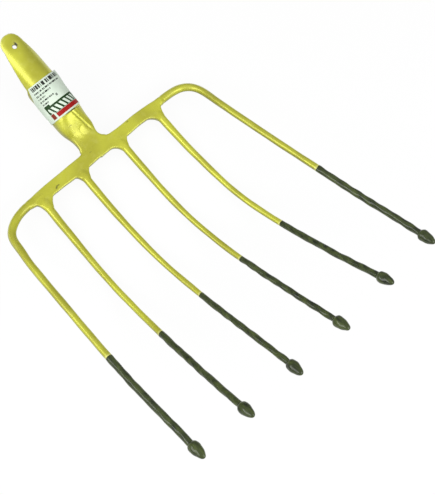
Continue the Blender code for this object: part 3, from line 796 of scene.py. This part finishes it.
def bumpOf(height, values):
    strength, depth = values
    slots = {"Strength": strength, "Distance": depth, "Height": height}
    return addNode(height.id_data, "Bump", slots).outputs[0]


lacquer = {
    "main": (0.61, 0.62, 0.04),
    "thin": (0.74, 0.74, 0.2),
    "thick": (0.45, 0.44, 0.024),
    # dark colour for dirt, the bar's marks and painted shade
    "hollow": (0.06, 0.056, 0.016),
    "rust": (0.38, 0.2, 0.035),
    "scuff": (0.13, 0.11, 0.035),
    "band": (0.78, 0.78, 0.26),
    "dark": (0.006, 0.012, 0.002),
    "darkLight": (0.074, 0.101, 0.02),
    "underside": 0.7,  # share of the dark colour painted as shade on level and downward faces
    "level": (0.05, 0.65),  # a face turns from level to up between these
    "metallic": 0.42,
    "roughness": 0.39,
    "coat": 0.5,
    "coatRoughness": 0.26,
    "specular": 0.5,
    "bump": (0.3, 0.0004),  # strength, and depth in metres
    "scratchGrain": (90, 700, 300),
}


def makeLacquer(name, dipped):
    # lacquer over forged steel. Attributes: edge is the bend of the surface, where the lacquer wears thin;
    # the darkening holds dirt, the bar's marks and painted shade; dip is the distance past the dark paint's
    # edge in millimetres
    material, tree, shader = newFinish(name)
    place = addNode(tree, "TexCoord").outputs["Object"]
    broad = noise(place, 32, 2)
    cloudy = noise(place, 130)
    fine = noise(place, 420, 4, 0.6)
    grain = noise(place, 1500, 3, 0.6)
    speck = noise(place, 260, 5, 0.65)
    # thin scuffs: noise stretched along one way, kept where a broad noise is high
    stretch = addNode(tree, "Mapping", {
        "Vector": place, "Rotation": (0, 0, 0.5), "Scale": lacquer["scratchGrain"],
    }).outputs[0]
    scratch = spread(noise(stretch, 1, 2), 0.7, 0.74)
    scratch = times(scratch, spread(noise(place, 24, 2), 0.58, 0.64))
    colour = lacquer["main"]
    for share, strength, tone in (
        (spread(broad, 0.4, 0.66), 0.75, "thick"),
        (spread(cloudy, 0.52, 0.74), 0.2, "thin"),
        (spread(fine, 0.56, 0.74), 0.12, "thick"),
        (readAttribute(tree, "edge"), spread(cloudy, 0.3, 0.6, 0.25, 0.8), "thin"),
        # towards the dark colour for dirt, marks and painted shade
        (readAttribute(tree, "hollow"), spread(fine, 0.25, 0.6, 0.95, 0.6), "hollow"),
        (spread(speck, 0.71, 0.77), 0.45, "rust"),
        (scratch, 0.7, "scuff"),
    ):
        colour = mixColour(times(share, strength), colour, lacquer[tone])
    rough = spread(cloudy, 0.3, 0.75, lacquer["roughness"] - 0.06, lacquer["roughness"] + 0.1)
    rough = plus(rough, times(scratch, 0.2))
    metal, coat = lacquer["metallic"], lacquer["coat"]
    height = plus(times(cloudy, 0.45), times(fine, 0.07))
    height = plus(height, times(grain, 0.03))
    height = mathOf("SUBTRACT", height, times(scratch, 0.25))
    if dipped:
        uneven = spread(noise(place, 220, 2), 0.2, 0.8, -0.5, 0.5)
        ragged = plus(readAttribute(tree, "dip"), uneven)
        ring = times(spread(ragged, -2.6, -1.4), spread(ragged, 0.2, -0.2))
        colour = mixColour(times(ring, 0.65), colour, lacquer["band"])
        cover = spread(ragged, -0.12, 0.12)
        # the paint ran along the tines, so its clouds are drawn out that way
        drawn = addNode(tree, "Mapping", {"Vector": place, "Scale": (1, 0.22, 1)}).outputs[0]
        clouds = spread(noise(drawn, 260), 0.28, 0.72)
        tone = mixColour(clouds, lacquer["dark"], lacquer["darkLight"])
        colour = mixColour(cover, colour, tone)
        rough = mixValue(cover, rough, spread(fine, 0.3, 0.7, 0.2, 0.32))
        metal = mixValue(cover, metal, 0)
        coat = mixValue(cover, coat, 0)
        lumps = times(noise(drawn, 240, 2), 0.5)
        height = plus(height, times(cover, plus(lumps, 0.4)))
    fill(shader, {
        "Base Color": colour, "Roughness": rough, "Metallic": metal, "Coat Weight": coat,
        "Coat Roughness": lacquer["coatRoughness"], "Specular IOR Level": lacquer["specular"],
        "Normal": bumpOf(height, lacquer["bump"]),
    })
    return material


forgedFinish = makeLacquer("goldLacquer", False)
tineFinish = makeLacquer("goldLacquerDipped", True)
print("finishes made")


# Pieces

def underside(mesh):
    # painted shade: 0 where the surface faces up, 1 where level or down
    normals = np.empty(len(mesh.vertices) * 3, np.float32)
    mesh.vertex_normals.foreach_get("vector", normals)
    return 1 - ease(normals[2::3].astype(float), *lacquer["level"])


def addForging(name, low, high, planes, nodes):
    # the grid's lines lie at whole steps, so that both forgings meet exactly at the neck
    low = tuple(forgingStep * math.floor(value / forgingStep) for value in low)
    x, back, height = gridOf(low, high, forgingStep)
    points, quads, bend = skinOf(forgedSteel(x, back, height), low, forgingStep)
    mesh = meshFromArrays(name, points, quads)
    # darkening: painted shade on the wall of the nail hole and in the pit beside it, painted shade and dirt
    # in the sharp hollows, and the bar's dark marks
    holeX, holeBack, holeRadius = socket["nailHole"]
    x, back, height = points.T
    toHole = np.hypot(x - holeX, back - holeBack)
    # painted shade on the wall of the nail hole, then in the punch mark beside it
    shadeAndGrime = ease(-toHole, -holeRadius - 0.8, -holeRadius - 0.1)
    shadeAndGrime = np.maximum(shadeAndGrime, 2.4 * inPit(x, back))
    for start, end, half in crossbar["marks"]:
        start, run = np.array(start), np.array(end) - np.array(start)
        along = np.clip((points[:, :2] - start) @ run / (run @ run), 0, 1)
        aside = np.linalg.norm(points[:, :2] - start - along[:, None] * run, axis=1)
        shadeAndGrime = np.maximum(shadeAndGrime, 1.2 * np.exp(-((aside / half) ** 2)) * (height > 2))
    # painted shade and dirt in the sharp hollows, where the surface bends inwards
    shadeAndGrime = np.maximum(0.45 * ease(-bend, 0.1, 0.4), shadeAndGrime)
    # painted shade on level and downward faces
    shadeAndGrime += lacquer["underside"] * underside(mesh)
    setAttributes(mesh, edge=np.clip((bend - 0.34) / 0.5, 0, 1), hollow=shadeAndGrime)
    trimMesh(mesh, planes)
    mesh.vertices.foreach_set("co", headToRow(pointsOf(mesh)).astype(np.float32).ravel())
    mesh.update()
    faceOutward(mesh)
    print(name, len(mesh.polygons), "faces")
    addPiece(name, mesh, forgedFinish, nodes)


def addTube(node, tube, dip, shadeAndGrime, sideShadeShare):
    # a closed tube in the level fork frame, which stands for its node
    points, quads, caps = tube
    mesh = meshFromArrays(node + "_skin", forkToRow(points), quads, caps)
    faceOutward(mesh)
    # darkened by painted shade: the tine's own share, and more on level and downward faces
    setAttributes(mesh, dip=dip, edge=0, hollow=shadeAndGrime + sideShadeShare * underside(mesh))
    addPiece(node + "_skin", mesh, tineFinish, [node])


front, arm = tines["crossbarCut"], tines["armCut"]
addForging("crossbar_forging", (-106.5, -24.5, -8), (106.5, 17.5, 10), [
    ((0, neckCut, 0), (0, 1, 0)), ((0, -front, 0), (0, -1, 0)),
    ((arm, 0, 0), (1, 0, 0)), ((-arm, 0, 0), (-1, 0, 0)),
], ["crossbar"])
addForging("socket_forging", (-24, 11, -19), (24, 165, 28), [
    ((0, neckCut, 0), (0, -1, 0)),
], ["socket"])

for number, ((kind, side), path) in enumerate(paths.items()):
    reached = lengthsAlong(path)
    total = reached[-1]
    # the bud takes the last stretch, the crossbar the first
    head = forkToHead(path)
    fromCut = np.abs(head[:, 0]) - tines["armCut"] if kind == "outer" else -head[:, 1] - tines["crossbarCut"]
    keep = (fromCut > -tines["overlap"]) & (total - reached > buds["length"] - tines["intoBud"])
    line, at = path[keep], reached[keep]
    angle = 2 * math.pi * np.arange(tines["sides"]) / tines["sides"]
    radius = tineRadius(kind, at)[:, None] + 0 * angle
    # flats: r (1 + s cos 4a), fading away from the root
    rise, full, fade, gone = tines["flats"]
    flats = tines["squareness"] * ease(at - at[0], rise, full) * (1 - ease(at, fade, gone))
    radius *= 1 + flats[:, None] * np.cos(4 * angle[None] + 0.9)
    uneven = waves(number + 5, 7, 0.02, 0.2)
    lumpy = waves(number + 40, 9, 0.1, 0.42)
    paintAt, shadeAndGrime = (tines[k][kind][side == "left"] for k in ("paintLine", "shadeAndGrime"))
    dip = paintAt - (total - at)
    painted = ease(dip, *tines["paintStep"])[:, None]
    ramp = ease(at - at[0], 0, 12)[:, None]
    radius += ramp * tines["waver"] * uneven(at[:, None], angle[None])
    radius += painted * (tines["paintThickness"] + tines["paintWaver"] * lumpy(at[:, None], angle[None]))
    # slimmer inside the forging, then proud of its cut end, so the two run into each other
    (slim, over), (proud, fade, gone) = tines["slim"], tines["swell"]
    full = ease(at - at[0], 0, over)
    swell = proud * full * (1 - ease(at - at[0], fade, gone))
    radius += (swell - slim * (1 - full))[:, None]
    dip = np.concatenate([np.repeat(dip, tines["sides"]), dip[:1], dip[-1:]])
    addTube(f"tine_{kind}_{side}", tubeAlong(line, radius), dip, shadeAndGrime, lacquer["underside"])

    # bud: the profile turned round the tine's end
    tip = path[-1]
    aim = tip - path[-8]
    aim /= np.linalg.norm(aim)
    share = 1 - (1 - np.linspace(0, 1, 70)) ** buds["crowding"]
    shape = readTable(buds["profile"], share)[0]
    smooth = np.convolve(np.pad(shape, 3, "edge"), np.ones(7) / 7, "valid")
    shape = np.where((share > 0.03) & (share < 0.97), smooth, shape)
    budLine = tip - aim * buds["length"] * (1 - share)[:, None]
    angle = 2 * math.pi * np.arange(buds["sides"]) / buds["sides"]
    radius = buds["radius"] * np.maximum(shape, 0.02)[:, None]
    radius = radius * (1 + buds["uneven"] * lumpy(2 * buds["length"] * share[:, None], angle[None]))
    addTube(f"bud_{kind}_{side}", tubeAlong(budLine, radius), 50, 0, 0)
print("tines and buds made")


# Label: one sheet round the cone, placed by the angle round the axis and the share v of its height

label = {
    "lower": (50.2, 4, 10),  # lowest point, how far the ends bow up, angle of the lowest point
    "upper": (97.2, 5, 5),
    "gap": 0.3,
    "span": 120,  # u runs from this angle on the right to the same on the left
    # share v, and the angle of each end there
    "rightEnd": [(0, 112), (0.42, 108), (0.52, 103), (0.62, 92), (0.75, 78), (0.9, 68), (1, 62)],
    "leftEnd": [(0, -112), (1, -98)],
    "columns": 150,
    "rows": 80,
    "thickness": 0.25,
    "proud": (2.6, -85, 26),  # the upper left corner stands off: how far, at which angle, how wide
    "ripple": 0.1,
    "paper": (0.75, 0.86, 0.73),
    "paperShade": (0.66, 0.78, 0.64),
    "ink": (0.022, 0.026, 0.022),
    "greyInk": (0.2, 0.24, 0.2),
    "green": (0.012, 0.05, 0.008),
    "red": (0.37, 0.003, 0.002),
    "brown": (0.24, 0.025, 0.01),
    "specular": 0.25,
    "bump": (0.35, 0.0003),
    "slant": (15, 4, 0.56),  # pale stripes: how many across and along, and their share of the pitch
    # the print in the order in which it is laid on: right and left angle, lower and upper share, tone, and
    # for a row of strokes the columns round the sheet and the start of their random values
    "print": [
        (56, -60, 0.86, 0.965, "ink", 132, 21),
        (58, -50, 0.775, 0.815, "ink", 190, 11), (58, 2, 0.69, 0.73, "ink", 190, 18),
        (60, 30, 0.615, 0.65, "ink", 190, 25), (61, 6, 0.535, 0.572, "ink", 190, 32),
        (63, 34, 0.455, 0.49, "ink", 190, 39),
        (3, -4, 0.47, 0.53, "greyInk", 0, 0), (63, 40, 0.19, 0.425, "green", 0, 0),
        (41, -54, 0.15, 0.375, "green", 0, 0), (57, -48, 0.16, 0.325, "paper", 0, 0),
        (41, -62, 0.04, 0.145, "red", 0, 0), (63, 48, 0.04, 0.18, "brown", 0, 0),
    ],
}


def sheetU(angle):
    # u = (span - angle) / (2 span)
    return (label["span"] - angle) / (2 * label["span"])


def makePaper():
    material, tree, shader = newFinish("labelPaper")
    place = addNode(tree, "TexCoord").outputs["Object"]
    sheet = addNode(tree, "UVMap", uv_map="sheet").outputs[0]
    parts = addNode(tree, "SeparateXYZ", {0: sheet})
    across, along = parts.outputs[0], parts.outputs[1]

    def band(value, low, high):
        # 1 between low and high
        return times(mathOf("GREATER_THAN", value, low), mathOf("LESS_THAN", value, high))

    def strokes(columns, start, share=0.66):
        # upright strokes of uneven width: one random value for each column
        cell = mathOf("FLOOR", times(across, columns))
        places = {"W": plus(cell, start)}
        random = addNode(tree, "TexWhiteNoise", places, noise_dimensions="1D")
        return mathOf("LESS_THAN", random.outputs["Value"], share)

    fibre = noise(place, 900, 4, 0.6)
    stain = noise(place, 55)
    colour = mixColour(spread(stain, 0.42, 0.72), label["paper"], label["paperShade"])
    worn = spread(noise(place, 700, 3, 0.6), 0.2, 0.36, 0.82, 1)
    perAcross, perAlong, stripeShare = label["slant"]
    slant = plus(times(across, perAcross), times(along, perAlong))
    stripe = mathOf("LESS_THAN", mathOf("FRACT", slant), stripeShare)
    for rightAngle, leftAngle, low, high, tone, columns, start in label["print"]:
        mask = band(across, sheetU(rightAngle), sheetU(leftAngle))
        mask = times(mask, band(along, low, high))
        if columns:
            mask = times(mask, strokes(columns, start))
        mask = times(mask, stripe if tone == "paper" else worn)
        colour = mixColour(mask, colour, label[tone])
    height = plus(fibre, times(stain, 2))
    fill(shader, {
        "Base Color": colour, "Roughness": spread(fibre, 0.3, 0.7, 0.42, 0.58),
        "Normal": bumpOf(height, label["bump"]), "Specular IOR Level": label["specular"],
    })
    return material


v = np.linspace(0, 1, label["rows"] + 1)[:, None]
s = np.linspace(0, 1, label["columns"] + 1)[None, :]
ends = [smoothTable(label[k], 0.04, 0.005) for k in ("rightEnd", "leftEnd")]
right, left = (readTable(table, v)[0] for table in ends)
angle = right + (left - right) * s


def bowed(place, angle):
    # place of an edge behind the middle line: lowest + bow (1 - cos(angle - lowest angle))
    return place[0] + place[1] * (1 - np.cos(np.radians(angle - place[2])))


back = bowed(label["lower"], angle) * (1 - v) + bowed(label["upper"], angle) * v
turn = np.radians(angle)
out = np.full(angle.shape, 20.5)
for _ in range(6):
    # out from the axis until the skin is a gap away
    above = socketSkin(out * np.sin(turn), back, socket["axisHeight"] + out * np.cos(turn))
    out -= above - label["gap"]
lift, liftAngle, liftWide = label["proud"]
out += lift * np.exp(-(((angle - liftAngle) / liftWide) ** 2)) * ease(v + 0 * s, 0.35, 1)
ripple = waves(77, 8, 0.05, 0.5)
out += label["ripple"] * (1.2 + ripple(back, turn * 3))
points = np.stack([out * np.sin(turn), back, socket["axisHeight"] + out * np.cos(turn)], -1).reshape(-1, 3)
columns = label["columns"]
corner = np.arange(label["rows"])[:, None] * (columns + 1) + np.arange(columns)
quads = np.stack([corner, corner + 1, corner + columns + 2, corner + columns + 1], -1).reshape(-1, 4)
# from right to left and from the lower edge to the upper one, the faces point away from the cone's axis
mesh = meshFromArrays("label_sheet", headToRow(points), quads)
sheet = mesh.uv_layers.new(name="sheet")
uv = np.stack([sheetU(angle), v + 0 * angle], -1).reshape(-1, 2)
corners = np.zeros(len(mesh.loops), np.int32)
mesh.loops.foreach_get("vertex_index", corners)
sheet.data.foreach_set("uv", uv[corners].astype(np.float32).ravel())
piece = addPiece("label_sheet", mesh, makePaper(), ["label"])
wall = piece.modifiers.new("wall", "SOLIDIFY")
wall.thickness = label["thickness"] / 1000
wall.offset = 1
print("label made")


# Floor, lights and camera

studio = {
    "floorSeen": (0.95, 0.95, 0.95),
    "floorBounce": (0.22, 0.22, 0.22),
    "floorGlow": 0.93,  # share of plain white that the camera and reflections see
    "floorHalf": 3,
    "cameraPlace": (0.35011, 0.25537, 1.02309),
    "cameraTurn": (20.6894, -8.4985, 136.2623),
    "lens": 71.226,
    "worldLow": 0.27,  # at the horizon
    "worldHigh": 0.7,  # overhead
    "lamps": [
        # name, place, aim, length along y, height, power
        ("keyLamp", (1.22, -0.22, 0.82), (0, -0.02, 0), 1.6, 0.7, 13.5),
        ("frontLamp", (-0.22, 1.05, 0.9), (0, -0.1, 0.03), 1.1, 0.55, 8),
    ],
}


def makeFloor():
    far = studio["floorHalf"]
    corners = [(-far, -far, 0), (far, -far, 0), (far, far, 0), (-far, far, 0)]
    mesh = meshFromArrays("floor", corners, np.array([[0, 1, 2, 3]]))
    floor = addObject("floor", mesh)
    material, tree, shader = newFinish("studioWhite")
    ray = addNode(tree, "LightPath")
    seen = plus(ray.outputs["Is Camera Ray"], ray.outputs["Is Glossy Ray"])
    seen = plus(seen, ray.outputs["Is Transmission Ray"], clamp=True)
    colour = mixColour(seen, studio["floorBounce"], studio["floorSeen"])
    fill(shader, {"Base Color": colour, "Roughness": 0.9, "Specular IOR Level": 0.2})
    white = addNode(tree, "Emission", {"Color": (1, 1, 1), "Strength": 1})
    glow = times(seen, studio["floorGlow"])
    mix = addNode(tree, "MixShader", {0: glow, 1: shader.outputs[0], 2: white.outputs[0]})
    fill(tree.nodes["Material Output"], {0: mix.outputs[0]})
    mesh.materials.append(material)


def makeWorld():
    # soft light, dimmer at the horizon than overhead
    world = bpy.data.worlds.new("studio")
    bpy.context.scene.world = world
    world.use_nodes = True
    tree = world.node_tree
    place = addNode(tree, "TexCoord").outputs["Generated"]
    parts = addNode(tree, "SeparateXYZ", {0: place})
    light = spread(parts.outputs[2], 0, 0.9, studio["worldLow"], studio["worldHigh"])
    fill(tree.nodes["Background"], {"Color": (1, 1, 1), "Strength": light})


makeFloor()
makeWorld()
for name, place, target, length, tall, power in studio["lamps"]:
    lamp = bpy.data.lights.new(name, "AREA")
    lamp.shape = "RECTANGLE"
    lamp.size = length
    lamp.size_y = tall
    lamp.energy = power
    aim = np.array(target) - place
    aim /= np.linalg.norm(aim)
    addObject(name, lamp, place, (math.acos(-aim[2]), 0, math.atan2(aim[1], aim[0]) - math.pi / 2))
camera = bpy.data.cameras.new("camera")
camera.lens = studio["lens"]
turn = [math.radians(a) for a in studio["cameraTurn"]]
bpy.context.scene.camera = addObject("camera", camera, studio["cameraPlace"], turn)
bpy.context.scene.view_settings.view_transform = "Standard"
print("studio made")
